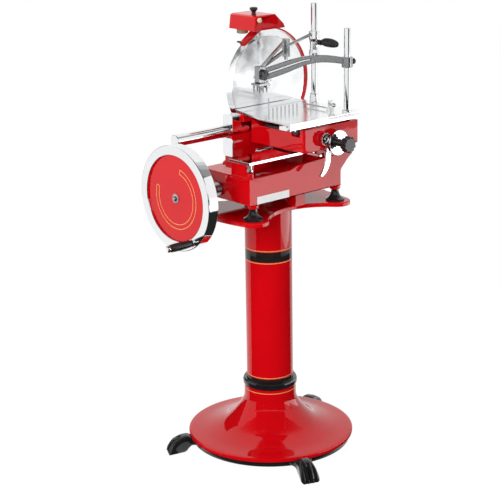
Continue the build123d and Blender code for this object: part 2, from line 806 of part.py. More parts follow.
wall_low = car_bottom + 6
lug_x = 45.0
screw_bore = screw_radius + running
with BuildPart() as carriage_frame:
    block(car_left, car_right, car_front, car_front + car_wall, car_bottom, front_wall_top)
    fillet(carriage_frame.edges().filter_by(Axis.Z).group_by(Axis.Y)[0], 6)
    # Side walls, lower in front of the guide blocks and rising to the beam at the back
    for x in (car_left, car_right - 18):
        with BuildSketch(across(x)):
            with BuildLine():
                Polyline(
                    (car_front + car_wall, car_bottom),
                    (car_back, car_bottom),
                    (car_back, beam_bottom),
                    (36, beam_bottom),
                    (14, side_wall_top),
                    (-120, side_wall_top),
                    (-123, side_wall_top - 10),
                    (car_front + car_wall, side_wall_top - 10),
                    close=True,
                )
            make_face()
        extrude(amount=18)
    block(car_left + 18, car_right - 18, 36, car_back, wall_low, beam_bottom)
    block(beam_left, car_right, beam_front, beam_back, beam_bottom, beam_top)
    block(lug_x, lug_x + 16, link_y - 6, 36, wall_low, wall_low + 10)
    block(lug_x, lug_x + 16, link_y - 6, link_y + 6, link_z - 6, wall_low + 10)
    # Inner lugs that hold the table roller pins
    for x in (car_left + 18, car_right - 26):
        block(x, x + 8, table_roller_y - 10, table_roller_y + 10, car_bottom + 28, front_wall_top)
        roller_z = table_top - sheet_thickness - frame_height - gap - table_roller_radius
        bar(across(x - 1, table_roller_y, roller_z), 4, 10, mode=Mode.SUBTRACT)
    bar(facing(car_front + car_wall + 1, screw_x, screw_z), screw_bore, car_wall + 2, mode=Mode.SUBTRACT)
    bar(facing(screw_end, screw_x, screw_z), screw_bore, screw_end - 35, mode=Mode.SUBTRACT)
keep(carriage_frame, "carriage_frame")

with BuildPart() as rod_saddles:
    bore = rod_radius + running
    rise = beam_top - rod_z
    for x, top in ((beam_left - saddle_length, rise), (car_right - saddle_length, beam_bottom - rod_z)):
        with BuildSketch(across(x, rod_y, rod_z)):
            with BuildLine():
                Polyline((bore, 0), (saddle_half, 0), (saddle_half, top - 4), (saddle_half - 4, top),
                         (4 - saddle_half, top), (-saddle_half, top - 4), (-saddle_half, 0), (-bore, 0))
                ThreePointArc((-bore, 0), (0, bore), (bore, 0))
            make_face()
        extrude(amount=saddle_length)
keep(rod_saddles, "rod_saddles")

sheet_bottom = table_top - sheet_thickness
frame_bottom = sheet_bottom - frame_height
with BuildPart() as guide_blocks:
    for x in (car_left, car_right - 18):
        block(x, x + 18, block_front, block_front + block_length, side_wall_top, frame_bottom - gap)
keep(guide_blocks, "guide_blocks")

with BuildPart() as slide_bars:
    for x in (car_left, car_right - 14):
        block(x, x + 14, block_front + block_length, bar_back, side_wall_top, side_wall_top + bar_height)
keep(slide_bars, "slide_bars")

with BuildPart() as table_rollers:
    for x in (car_left + 2, car_right - 16):
        tube(across(x, table_roller_y, roller_z), table_roller_radius, 4 + running, 14)
keep(table_rollers, "table_rollers")

axle_z = deck_top + gap + deck_roller_radius
with BuildPart() as trip_bar:
    block(8, 26, car_front, car_front + 14, car_bottom - 6, car_bottom)
    block(8, 16, car_front - 40, car_front, car_bottom - 6, car_bottom)
keep(trip_bar, "trip_bar")

with BuildPart() as drive_link:
    bar(across(link_left, link_y, link_z), link_radius, lug_x - link_left)
    ball(link_left, link_y, link_z, link_ball)
keep(drive_link, "drive_link")

# ================================================================ feed

knob_front = car_front - knob_stand
with BuildPart() as feed_screw:
    bar(facing(screw_end, screw_x, screw_z), screw_radius, screw_end - knob_front + 4)
keep(feed_screw, "feed_screw")

with BuildPart() as feed_knob:
    with BuildSketch(facing(knob_front, screw_x, screw_z)):
        Circle(knob_radius)
        with PolarLocations(knob_radius + 2, 10):
            Circle(5, mode=Mode.SUBTRACT)
    extrude(amount=knob_length)
    chamfer(feed_knob.edges().group_by(Axis.Y)[0], 1.5)
    spun(screw_x, car_front - gap, screw_z, (0, -1, 0),
         (0, 0), (feed_hub_radius, 0), (feed_hub_radius, knob_stand - 8), (feed_hub_radius + 3, knob_stand),
         (0, knob_stand))
    bar(facing(car_front, screw_x, screw_z), screw_radius, knob_stand + 4, mode=Mode.SUBTRACT)
keep(feed_knob, "feed_knob")

yoke_back = car_front - 16.0
with BuildPart() as feed_yoke:
    with BuildSketch(facing(yoke_back, screw_x, screw_z)):
        Circle(yoke_radius)
        Circle(feed_hub_radius + running, mode=Mode.SUBTRACT)
        with BuildLine():
            Polyline((0, 0), (yoke_radius * 1.5, 14), (yoke_radius * 1.5, -16), close=True)
        make_face(mode=Mode.SUBTRACT)
        Circle(feed_hub_radius + 9)
        Circle(feed_hub_radius + running, mode=Mode.SUBTRACT)
    extrude(amount=yoke_thickness)
keep(feed_yoke, "feed_yoke")

with BuildPart() as index_wheel:
    with BuildSketch(facing(car_front - 4, index_x, index_z)):
        Circle(index_radius)
        with PolarLocations(index_radius, index_teeth):
            Circle(2.6, mode=Mode.SUBTRACT)
        Circle(4 + running, mode=Mode.SUBTRACT)
    extrude(amount=8)
keep(index_wheel, "index_wheel")

with BuildPart() as feed_lever:
    with BuildSketch(facing(car_front - 6, lever_x, lever_z)):
        with BuildLine():
            ThreePointArc((-7, 15), (0, 22), (8, 12))
            ThreePointArc((8, 12), (8, -32), (-22, -66))
            Line((-22, -66), (-31, -62))
            ThreePointArc((-31, -62), (-11, -30), (-7, 15))
        make_face()
        with Locations((0, 12)):
            Circle(4 + running, mode=Mode.SUBTRACT)
    extrude(amount=lever_thickness)
keep(feed_lever, "feed_lever")

nut_y = car_front + car_wall + table_travel + 1
with BuildPart() as feed_nut:
    block(screw_x - 14, screw_x + 14, nut_y, nut_y + 22, screw_z - 14, frame_bottom)
    bar(facing(nut_y + 23, screw_x, screw_z), screw_bore, 24, mode=Mode.SUBTRACT)
keep(feed_nut, "feed_nut")

with BuildPart() as deck_roller:
    tube(facing(deck_roller_y + deck_roller_width, deck_roller_x, axle_z), deck_roller_radius, 4 + running,
         deck_roller_width)
keep(deck_roller, "deck_roller")

axle_back = deck_roller_y + deck_roller_width + 4
with BuildPart() as carriage_pins:
    # Pins of the two table rollers, the deck roller's axle and the two front pivots
    bar(across(car_left + 1, table_roller_y, roller_z), 4, 24)
    bar(across(car_right - 25, table_roller_y, roller_z), 4, 24)
    bar(facing(axle_back, deck_roller_x, axle_z), 4, axle_back - car_front - car_wall)
    bar(facing(deck_roller_y - gap, deck_roller_x, axle_z), 6, 4)
    bar(facing(axle_back, deck_roller_x, axle_z), 6, 4 - gap)
    for x, z, stand in ((index_x, index_z, 4), (lever_x, lever_z + 12, 6)):
        bar(facing(car_front, x, z), 4, 15)
        bar(facing(car_front, x, z), 7, stand - gap)
        bar(facing(car_front - 12 - gap, x, z), 7, 3)
keep(carriage_pins, "carriage_pins")

# ================================================================ meat table

with BuildPart() as table_sheet:
    with BuildSketch(level(sheet_bottom)):
        with BuildLine():
            Polyline((table_left, table_front), (table_right, table_front), (table_right, table_back),
                     (table_left + 25, table_back), (table_left, -50), close=True)
        make_face()
    extrude(amount=sheet_thickness)
    chamfer(table_sheet.edges().group_by(Axis.Z)[-1], 0.8)
    block(table_left + 5, table_right - 47, table_front - 1, table_front + 3, sheet_bottom, sheet_bottom + 2,
          mode=Mode.SUBTRACT)
keep(table_sheet, "table_sheet")

with BuildPart() as table_frame:
    block(table_left, table_right, table_front, table_front + frame_bar, frame_bottom, sheet_bottom)
    for x in (car_left, car_right - 18):
        block(x, x + 18, table_front + frame_bar, beam_front - 2, frame_bottom, sheet_bottom)
    block(car_left + 18, car_right - 18, nut_y, nut_y + 22, frame_bottom, sheet_bottom)
keep(table_frame, "table_frame")

with BuildPart() as bridge_plate:
    with BuildSketch(level(beam_top)):
        with BuildLine():
            Polyline((table_left + 27, table_back + 4), (table_right, table_back + 4),
                     (table_right, bridge_back),
                     (table_left + 37, bridge_back), close=True)
        make_face()
    extrude(amount=table_top - beam_top)
keep(bridge_plate, "bridge_plate")

with BuildPart() as table_comb:
    for tooth in range(comb_count):
        bar(level(table_top, comb_left + tooth * comb_pitch, comb_y), 1.5, comb_height)
keep(table_comb, "table_comb")

with BuildPart() as table_posts:
    for y, top, socket in (
        (tall_post_y, tall_post_top, socket_height),
        (short_post_y, short_post_top, socket_height / 6),
    ):
        spun(post_x, y, table_top, (0, 0, 1),
             (0, 0), (socket_radius, 0), (socket_radius, socket), (post_radius, socket),
             (post_radius, top - table_top - 1.5), (post_radius - 1.5, top - table_top), (0, top - table_top))
keep(table_posts, "table_posts")

with BuildPart() as fence_bracket:
    block(fence_x - 9, fence_x + 9, fence_y - 10, fence_y + 6, table_top, table_top + 10)
    block(fence_x - 9, fence_x + 9, fence_y - 4, fence_y, table_top + 10, table_top + 32)
    block(fence_x - 9, fence_x + 9, fence_y - 10, fence_y, table_top + 26, table_top + 32)
    bar(facing(-3, fence_x - 5, table_top + 7), 2.2, -3 - fence_y - 6)
keep(fence_bracket, "fence_bracket")

with BuildPart() as fence_knob:
    bar(facing(fence_y - 4 - gap, fence_x, table_top + 18), 3, 8)
    ball(fence_x, fence_y - 17, table_top + 18, 7)
keep(fence_knob, "fence_knob")

# ================================================================ clamp

run_x = head_x + 14 - post_x
run_y = tall_post_y - short_post_y
arm_run = hypot(run_x, run_y)
arm_way = Vector(run_x / arm_run, run_y / arm_run, 0)
arm_plane = Plane(
    origin=(column_x + post_x, column_y + short_post_y, 0), x_dir=arm_way,
    z_dir=arm_way.cross(Vector(0, 0, 1)))
arm_rise = ((0.0, clamp_z), (0.36, clamp_z + 10), (0.56, clamp_z + 2), (0.68, clamp_z - 9), (1.0, head_z - 4))
with BuildPart() as press_arm:
    with BuildSketch(arm_plane):
        with BuildLine():
            upper = [(share * arm_run, z + arm_depth / 2) for share, z in arm_rise]
            lower = [(share * arm_run, z - arm_depth / 2) for share, z in arm_rise]
            Spline(*upper)
            Spline(*lower)
            Line(upper[0], lower[0])
            Line(upper[-1], lower[-1])
        make_face()
    extrude(amount=arm_width / 2, both=True)
    bar(level(clamp_z - hub_height / 2, post_x, short_post_y), sleeve_radius, hub_height)
    bar(level(clamp_z - hub_height, post_x, short_post_y), post_radius + running, 2 * hub_height,
        mode=Mode.SUBTRACT)
    bar(across(post_x + post_radius, short_post_y, clamp_z), 3 + running, sleeve_radius, mode=Mode.SUBTRACT)
    block(head_x - 30, head_x + 13, tall_post_y - 12, tall_post_y + 12, head_z - 40, head_z + 20,
          mode=Mode.SUBTRACT)
keep(press_arm, "press_arm")

with BuildPart() as hub_screw:
    bar(across(post_x + post_radius + gap, short_post_y, clamp_z), 3, 10)
    spun(post_x + sleeve_radius + 1, short_post_y, clamp_z, (1, 0, 0),
         (0, 0), (7, 0), (9, 3), (9, 9), (6, 12), (0, 12))
keep(hub_screw, "hub_screw")

with BuildPart() as post_clamp:
    spun(post_x, tall_post_y, clamp_low, (0, 0, 1),
         (post_radius + running, 0), (sleeve_radius, 0), (sleeve_radius, 14), (sleeve_radius - 3, 26),
         (sleeve_radius - 3, 48), (sleeve_radius, 58), (sleeve_radius, clamp_high - clamp_low),
         (post_radius + running, clamp_high - clamp_low))
    bar(facing(tall_post_y - post_radius - 2, post_x, paddle_z), 9, 9)
    bar(facing(tall_post_y, post_x, paddle_z), 3 + running, 24, mode=Mode.SUBTRACT)
    for z in (clamp_high - 10, clamp_low + 8):
        bar(across(post_x + sleeve_radius - 2, tall_post_y, z), 5, 6)
    bar(level(clamp_low - 1, post_x, tall_post_y), post_radius + running, clamp_high - clamp_low + 2,
        mode=Mode.SUBTRACT)
keep(post_clamp, "post_clamp")

paddle_y = tall_post_y - post_radius - 11 - gap
with BuildPart() as clamp_paddle:
    bar(facing(paddle_y, post_x, paddle_z), 8, 10)
    bar(facing(paddle_y + 8, post_x, paddle_z), 3, 8)
    with BuildSketch(across(post_x - 5, paddle_y - 10, paddle_z + 2)):
        with BuildLine():
            Spline((4, 5), (-14, 13), (-40, 14), (3 - paddle_length, 8), (-paddle_length, 1))
            Spline((-paddle_length, 1), (4 - paddle_length, -9), (-40, -12), (-14, -11), (4, -5))
            Line((4, -5), (4, 5))
        make_face()
    extrude(amount=10)
keep(clamp_paddle, "clamp_paddle")

fan_right = 66.0
rod_start = Vector(column_x + fan_right - 6, column_y + tall_post_y, head_z + 60)
rod_finish = Vector(column_x + post_x - sleeve_radius, column_y + tall_post_y, clamp_high - 10)
with BuildPart() as press_head:
    block(head_x - 13, head_x + 13, tall_post_y - 10, tall_post_y + 10, head_z - 34, head_z + 14)
    fillet(press_head.edges().filter_by(Axis.Y), 5)
    # The fan bracket rises from the head to the tie that holds it to the tall post's clamp
    with BuildSketch(facing(tall_post_y + 4)):
        with BuildLine():
            Polyline((head_x - 4, head_z + 8), (head_x + 12, head_z + 8), (fan_right - 14, head_z + 40),
                     (fan_right - 14, head_z + 80), close=True)
        make_face()
        with BuildLine():
            Polyline((head_x + 24, head_z + 21), (fan_right - 20, head_z + 49),
                     (fan_right - 20, head_z + 64), close=True)
        make_face(mode=Mode.SUBTRACT)
    extrude(amount=8)
    block(fan_right - 14, fan_right, tall_post_y - 9, tall_post_y + 9, head_z + 29, head_z + 83)
    block(fan_right - 12, fan_right - 4, tall_post_y - 4, tall_post_y + 4, head_z + 21, head_z + 29)
    with BuildSketch(Plane(origin=rod_start, z_dir=rod_finish - rod_start)):
        Circle(4.5)
    extrude(amount=(rod_finish - rod_start).length + 6)
    bar(level(clamp_low, post_x, tall_post_y), sleeve_radius, clamp_high - clamp_low, mode=Mode.SUBTRACT)
    bar(facing(tall_post_y, head_x, head_z - 10), 3 + running, 12, mode=Mode.SUBTRACT)
    # Spiked foot that bites the meat
    block(head_x - 20, head_x + 20, tall_post_y - 18, tall_post_y + 18, head_z - 40, head_z - 34)
    for x in (-14, 0, 14):
        for y in (-12, 12):
            spun(head_x + x, tall_post_y + y, head_z - 40, (0, 0, -1), (0, 0), (2.5, 0), (2.5, 14), (0.5, 22),
                 (0, 22))
keep(press_head, "press_head")

with BuildPart() as head_knob:
    bar(facing(tall_post_y - 2, head_x, head_z - 10), 3, 14)
    with BuildSketch(facing(tall_post_y - 10 - gap, head_x, head_z - 10)):
        Circle(9)
        with PolarLocations(10, 5):
            Circle(6)
    extrude(amount=11)
keep(head_knob, "head_knob")

# ================================================================ sharpener

web_z = hood_bottom + 16
with BuildPart() as sharpener_hood:
    for inset, mode in ((0.0, Mode.ADD), (hood_wall, Mode.SUBTRACT)):
        with BuildSketch(facing(hood_back - inset)):
            with BuildLine():
                Polyline(
                    (hood_left + inset, hood_bottom),
                    (hood_left + 6 + inset, hood_top - 4 - inset),
                    (hood_left + 14 + inset, hood_top - inset),
                    (hood_right - 40 - inset / 2, hood_top - inset),
                    (hood_right - 5 - inset, hood_bottom + 12),
                    (hood_right - inset, hood_bottom),
                    close=True,
                )
            make_face()
        extrude(amount=hood_back - hood_front - 2 * inset, mode=mode)
    bar(level(hood_top - 10, knob_x, knob_y), 4 + running, 12, mode=Mode.SUBTRACT)
    bar(facing(hood_front + 8, button_x, button_z), 3 + running, 10, mode=Mode.SUBTRACT)
    # Inner web that carries the stone's spindle and sits on the upright
    block(hood_left + hood_wall, cross_x + 12, upright_front, base_back, web_z, web_z + 8)
    block(cross_x - 20, cross_x + 12, upright_front, base_back, hood_bottom, web_z)
    bar(level(web_z - 1, stone_x, stone_y), 4 + running, 10, mode=Mode.SUBTRACT)
keep(sharpener_hood, "sharpener_hood")

with BuildPart() as grind_stone:
    spun(stone_x, stone_y, web_z - gap, (0, 0, -1),
         (0, 0), (7, 0), (7, 4), (9, 6), (stone_radius, 18), (stone_radius, 28), (stone_radius - 4, 30),
         (stone_radius - 6, 24), (0, 22))
    bar(level(web_z - 2, stone_x, stone_y), 4, 14)
keep(grind_stone, "grind_stone")

with BuildPart() as hood_knob:
    spun(knob_x, knob_y, hood_top, (0, 0, 1),
         (0, -9), (4, -9), (4, gap), (7, gap), (6, 8), (12, 15), (12, 20), (9, 23), (0, 23))
keep(hood_knob, "hood_knob")

with BuildPart() as hone_button:
    spun(button_x, hood_front, button_z, (0, -1, 0),
         (0, -8), (3, -8), (3, 4.5), (7, 4.5), (7, 9.5), (5, 11.5), (0, 11.5))
keep(hone_button, "hone_button")

# Its foot lies on the ring guard's end, and its tip just outside the blade's edge
guard_face = guard_back - guard_depth
tip_angle = radians(134)
tip_reach = blade_radius + 13
with BuildPart() as hone_arm:
    with BuildSketch(facing(guard_face)):
        with BuildLine():
            Polyline((52, hood_bottom + 10),
                     (cross_x + tip_reach * cos(tip_angle), blade_z + tip_reach * sin(tip_angle)),
                     (cross_x + blade_radius * cos(tip_angle), blade_z + blade_radius * sin(tip_angle)),
                     (80, hood_bottom - 4), (80, hood_bottom + 10), close=True)
        make_face()
    extrude(amount=11)
keep(hone_arm, "hone_arm")
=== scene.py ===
import json
from math import cos, pi, radians, sin

import bmesh
import bpy
from mathutils import Matrix, Vector


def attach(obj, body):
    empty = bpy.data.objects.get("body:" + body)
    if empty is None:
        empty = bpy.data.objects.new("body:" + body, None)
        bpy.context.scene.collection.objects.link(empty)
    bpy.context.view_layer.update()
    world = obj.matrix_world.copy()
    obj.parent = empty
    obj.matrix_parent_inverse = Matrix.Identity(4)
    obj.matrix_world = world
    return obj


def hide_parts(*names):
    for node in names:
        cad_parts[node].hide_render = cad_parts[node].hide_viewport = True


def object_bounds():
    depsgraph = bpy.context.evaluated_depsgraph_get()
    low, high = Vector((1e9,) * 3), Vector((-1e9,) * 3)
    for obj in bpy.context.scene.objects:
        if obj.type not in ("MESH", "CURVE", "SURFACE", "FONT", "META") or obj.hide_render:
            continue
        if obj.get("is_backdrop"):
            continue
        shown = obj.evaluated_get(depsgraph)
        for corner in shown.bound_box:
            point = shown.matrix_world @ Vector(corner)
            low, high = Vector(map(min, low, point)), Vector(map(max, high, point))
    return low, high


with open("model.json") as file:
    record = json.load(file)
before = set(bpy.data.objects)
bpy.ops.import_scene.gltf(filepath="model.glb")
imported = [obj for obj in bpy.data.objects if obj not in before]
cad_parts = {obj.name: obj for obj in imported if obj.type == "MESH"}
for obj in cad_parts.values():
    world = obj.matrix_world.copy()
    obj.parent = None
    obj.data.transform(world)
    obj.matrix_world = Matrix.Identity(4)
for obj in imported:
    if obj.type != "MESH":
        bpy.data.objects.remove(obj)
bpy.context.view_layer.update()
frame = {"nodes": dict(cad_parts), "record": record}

scene = bpy.context.scene
X, Y, Z = Vector((1, 0, 0)), Vector((0, 1, 0)), Vector((0, 0, 1))

# Main places in millimetres, across and deep from the column's axis and high from the floor
COLUMN = Vector((66.0, 31.5, 0.0))
COLUMN_RADIUS = 71.5
COLUMN_INSIDE = 67.5
COLUMN_FOOT = 202
COLUMN_TOP = 767
PLATE_HEIGHT = 779
BELL_X = 164
BELL_Y = 119
SHAFT_HEIGHT = 855
RIM_FACE = -356
DISC_FACE = -350
CRANK_PIN_Y = -82.09
CRANK_PIN_HEIGHT = 742.83
ROD_START = (-289, 76, 999)
BLADE_CENTRE = (98, 109, 1115)
POST_X = 173
TALL_POST_Y = -22
SHORT_POST_Y = -160
TABLE_HEIGHT = 1052
CLAMP_EYE_HEIGHT = 1198
HOOD_TOP_CENTRE = (25, 80, 1328)


def spot(x, y, z):
    """A place in millimetres from the column's axis, in the frame's metres."""
    return (Vector((x, y, z)) + COLUMN) / 1000


GROUND = spot(0, 0, 0)

# ---------------------------------------------------------------- materials

COAT_ROUGHNESS = 0.03
DRIFT_DETAIL = 4
GRIT_DETAIL = 3
GRIT_DEPTH = 0.001
COLOUR_FROM, COLOUR_TO = 0.3, 0.75
GLOSS_FROM, GLOSS_TO = 0.3, 0.7


def fill(node, values):
    """Sets a node's inputs by name."""
    for name, value in values.items():
        node.inputs[name].default_value = value


def noise(tree, mapping, scale, detail):
    """A noise texture over the mapped place."""
    texture = tree.nodes.new("ShaderNodeTexNoise")
    fill(texture, {"Scale": scale, "Detail": detail})
    tree.links.new(mapping.outputs[0], texture.inputs["Vector"])
    return texture


def material(name, colour, metallic=0.0, roughness=0.3, shade=0.08, grain=60.0, smudge=0.05, bump=0.0,
             fine=900.0, stretch=(1, 1, 1), coat=0.0, coat_ior=1.4, specular=0.5):
    """A principled material with colour drift, uneven gloss and a fine surface."""
    made = bpy.data.materials.new(name)
    made.use_nodes = True
    tree = made.node_tree
    nodes = tree.nodes
    links = tree.links
    surface = nodes["Principled BSDF"]
    fill(surface, {"Metallic": metallic, "Specular IOR Level": specular, "Coat Weight": coat,
                   "Coat Roughness": COAT_ROUGHNESS, "Coat IOR": coat_ior})
    place = nodes.new("ShaderNodeTexCoord")
    mapping = nodes.new("ShaderNodeMapping")
    fill(mapping, {"Scale": stretch})
    links.new(place.outputs["Object"], mapping.inputs["Vector"])
    drift = noise(tree, mapping, grain, DRIFT_DETAIL)
    ramp = nodes.new("ShaderNodeValToRGB")
    dark, bright = ramp.color_ramp.elements
    dark.position = COLOUR_FROM
    bright.position = COLOUR_TO
    dark.color = (*[c * (1 - shade) for c in colour], 1)
    bright.color = (*[min(1, c * (1 + shade * 0.5)) for c in colour], 1)
    links.new(drift.outputs["Fac"], ramp.inputs["Fac"])
    links.new(ramp.outputs[0], surface.inputs["Base Color"])
    gloss = nodes.new("ShaderNodeMapRange")
    fill(gloss, {"From Min": GLOSS_FROM, "From Max": GLOSS_TO,
                 "To Min": max(0.0, roughness - smudge / 2), "To Max": roughness + smudge / 2})
    links.new(drift.outputs["Fac"], gloss.inputs["Value"])
    links.new(gloss.outputs[0], surface.inputs["Roughness"])
    if bump:
        grit = noise(tree, mapping, fine, GRIT_DETAIL)
        relief = nodes.new("ShaderNodeBump")
        fill(relief, {"Strength": bump, "Distance": GRIT_DEPTH})
        links.new(grit.outputs["Fac"], relief.inputs["Height"])
        links.new(relief.outputs[0], surface.inputs["Normal"])
        if coat:
            links.new(relief.outputs[0], surface.inputs["Coat Normal"])
    return made


RED = material("red_enamel", (0.66, 0.002, 0.006), roughness=0.35, shade=0.06, grain=9, bump=0.025,
               fine=260, coat=1.0, coat_ior=1.4, specular=0.0)
BLACK = material("black_enamel", (0.012, 0.012, 0.013), roughness=0.3, shade=0.3, grain=40, bump=0.05,
                 fine=300, coat=1.0, coat_ior=1.45, specular=0.1)
BAND = material("black_band", (0.02, 0.016, 0.015), roughness=0.35, shade=0.2, grain=60, coat=1.0,
                coat_ior=1.4, specular=0.0)
GOLD = material("gold_line", (0.93, 0.38, 0.13), roughness=0.4, shade=0.1, grain=120)
CHROME = material("chrome", (0.86, 0.87, 0.88), metallic=1, roughness=0.06, shade=0.03, grain=30, smudge=0.05,
                  bump=0.01, fine=700)
SHEET = material("polished_steel", (0.94, 0.945, 0.95), metallic=1, roughness=0.2, shade=0.05, grain=60,
                 smudge=0.08, bump=0.02, fine=900, stretch=(1, 14, 1))
BLADE = material("blade_steel", (0.86, 0.87, 0.88), metallic=1, roughness=0.12, shade=0.05, grain=20,
                 smudge=0.08, bump=0.015, fine=800)
STEEL = material("machined_steel", (0.50, 0.51, 0.52), metallic=1, roughness=0.28, shade=0.15, grain=90,
                 smudge=0.12, bump=0.06, fine=900, stretch=(8, 8, 1))
CAST = material("cast_aluminium", (0.36, 0.37, 0.375), metallic=1, roughness=0.26, shade=0.14, grain=70,
                smudge=0.12, bump=0.12, fine=700)
PLASTIC = material("black_plastic", (0.014, 0.014, 0.015), roughness=0.28, shade=0.25, grain=90, smudge=0.1,
                   bump=0.08, fine=900, specular=0.5)
BRONZE = material("bronze", (0.62, 0.42, 0.18), metallic=1, roughness=0.3, shade=0.2, grain=80, smudge=0.12,
                  bump=0.06)
IVORY = material("ivory_plastic", (0.80, 0.66, 0.44), roughness=0.3, shade=0.1, grain=60, coat=0.5)
WHITE = material("white_plate", (0.80, 0.80, 0.79), roughness=0.35, shade=0.05, grain=50, coat=0.6)
STONE = material("grinding_stone", (0.36, 0.26, 0.17), roughness=0.9, shade=0.3, grain=500, smudge=0.1,
                 bump=0.5, fine=1500)
SLOTS = {
    "red_enamel": RED, "black_enamel": BLACK, "chrome": CHROME, "polished_steel": SHEET,
    "machined_steel": STEEL, "cast_aluminium": CAST, "black_plastic": PLASTIC, "roller_steel": STEEL,
    "bronze": BRONZE, "ivory_plastic": IVORY, "white_plate": WHITE,
}
SLOT_OF = {row["node"]: row["material_slot"] for row in frame["record"]["subparts"]}


# ---------------------------------------------------------------- rounded edges and shading

SMOOTH_LIMIT = radians(32)
BEVEL_LIMIT = radians(38)
WELD_REACH = 2e-6


def smoothing(limit):
    """A node group that shades smooth, with edges sharper than the limit kept."""
    group = bpy.data.node_groups.new("smooth_by_angle", "GeometryNodeTree")
    group.interface.new_socket("Geometry", in_out="INPUT", socket_type="NodeSocketGeometry")
    group.interface.new_socket("Geometry", in_out="OUTPUT", socket_type="NodeSocketGeometry")
    nodes = group.nodes
    links = group.links
    entry = nodes.new("NodeGroupInput")
    leave = nodes.new("NodeGroupOutput")
    drop = nodes.new("GeometryNodeRemoveAttribute")
    drop.inputs["Name"].default_value = "custom_normal"
    faces = nodes.new("GeometryNodeSetShadeSmooth")
    faces.domain = "FACE"
    edges = nodes.new("GeometryNodeSetShadeSmooth")
    edges.domain = "EDGE"
    angle = nodes.new("GeometryNodeInputMeshEdgeAngle")
    test = nodes.new("FunctionNodeCompare")
    test.data_type = "FLOAT"
    test.operation = "LESS_THAN"
    test.inputs[1].default_value = limit
    links.new(entry.outputs[0], drop.inputs["Geometry"])
    links.new(drop.outputs[0], faces.inputs["Geometry"])
    links.new(faces.outputs[0], edges.inputs["Geometry"])
    links.new(angle.outputs["Unsigned Angle"], test.inputs[0])
    links.new(test.outputs[0], edges.inputs["Shade Smooth"])
    links.new(edges.outputs[0], leave.inputs[0])
    return group


SMOOTH = smoothing(SMOOTH_LIMIT)


def soften(piece, width=0.0, cuts=2, weld=False):
    """Rounded edges of that width in millimetres, and smooth shading up to a limit."""
    if weld:
        join = piece.modifiers.new("weld", "WELD")
        join.merge_threshold = WELD_REACH
    if width:
        bevel = piece.modifiers.new("bevel", "BEVEL")
        bevel.width = width / 1000
        bevel.segments = cuts
        bevel.limit_method = "ANGLE"
        bevel.angle_limit = BEVEL_LIMIT
        bevel.use_clamp_overlap = False
    shade = piece.modifiers.new("smooth", "NODES")
    shade.node_group = SMOOTH
    level = piece.modifiers.new("level", "WEIGHTED_NORMAL")
    level.keep_sharp = True


# ---------------------------------------------------------------- mesh helpers

def finished(name, mesh_maker, body, slot_name, *nodes, width=0.0, cuts=2, materials=None):
    """A new piece of the scene, its faces turned outwards, on its body, standing for its nodes."""
    bmesh.ops.recalc_face_normals(mesh_maker, faces=mesh_maker.faces)
    mesh = bpy.data.meshes.new(name)
    mesh_maker.to_mesh(mesh)
    mesh_maker.free()
    piece = bpy.data.objects.new(name, mesh)
    scene.collection.objects.link(piece)
    for item in materials or (SLOTS[slot_name],):
        mesh.materials.append(item)
    soften(piece, width, cuts)
    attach(piece, body)
    if nodes:
        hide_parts(*nodes)


def smooth_line(points, steps=8):
    """A smooth line through the points."""
    line = []
    last = len(points) - 1
    for i in range(last):
        before = Vector(points[max(i - 1, 0)])
        start = Vector(points[i])
        end = Vector(points[i + 1])
        after = Vector(points[min(i + 2, last)])
        slope = end - before
        bend = 2 * before - 5 * start + 4 * end - after
        twist = 3 * start - before - 3 * end + after
        for k in range(steps):
            t = k / steps
            line.append(0.5 * (2 * start + slope * t + bend * t * t + twist * t ** 3))
    line.append(Vector(points[-1]))
    return line


def clamped(value):
    """The value, kept between 0 and 1."""
    return min(max(value, 0), 1)


def shaped(value, power):
    """A sine or cosine raised to a power with its sign kept, which squares or flattens a round."""
    return abs(value) ** power * (1 if value > 0 else -1)


def turned(mesh_maker, points, origin, axis, segments=96, close=True, band=None):
    """Adds a turned form: points are (radius, distance along the axis), in millimetres."""
    side = Z if abs(axis.z) < 0.5 else X
    other = axis.cross(side)
    rings = []
    for radius, along in points:
        centre = origin + axis * along / 1000
        if radius == 0:
            rings.append([mesh_maker.verts.new(centre)])
            continue
        ring = []
        for i in range(segments):
            turn = 2 * pi * i / segments
            ring.append(mesh_maker.verts.new(centre + (side * cos(turn) + other * sin(turn)) * radius / 1000))
        rings.append(ring)
    pairs = list(zip(rings, rings[1:]))
    if close:
        pairs.append((rings[-1], rings[0]))
    for row, (lower, upper) in enumerate(pairs):
        if len(lower) == 1 and len(upper) == 1:
            continue
        for i in range(segments):
            j = (i + 1) % segments
            if len(lower) == 1:
                face = mesh_maker.faces.new((lower[0], upper[j], upper[i]))
            elif len(upper) == 1:
                face = mesh_maker.faces.new((lower[i], lower[j], upper[0]))
            else:
                face = mesh_maker.faces.new((lower[i], lower[j], upper[j], upper[i]))
            if band:
                face.material_index = band(row)


def skin(mesh_maker, rings, band=None):
    """Adds faces from each ring of corners to the next, with both ends closed."""
    for row, (lower, upper) in enumerate(zip(rings, rings[1:])):
        for k in range(len(lower)):
            j = (k + 1) % len(lower)
            face = mesh_maker.faces.new((lower[k], lower[j], upper[j], upper[k]))
            if band:
                face.material_index = band(row, k)
    mesh_maker.faces.new(rings[0])
    mesh_maker.faces.new(rings[-1])


def turned_piece(name, node, body, slot_name, points, origin, axis, segments, close=True, band=None,
                 **finish):
    """A piece that is one turned form and stands for one node."""
    make = bmesh.new()
    turned(make, points, origin, axis, segments, close, band)
    finished(name, make, body, slot_name, node, **finish)


# ---------------------------------------------------------------- carried-over nodes

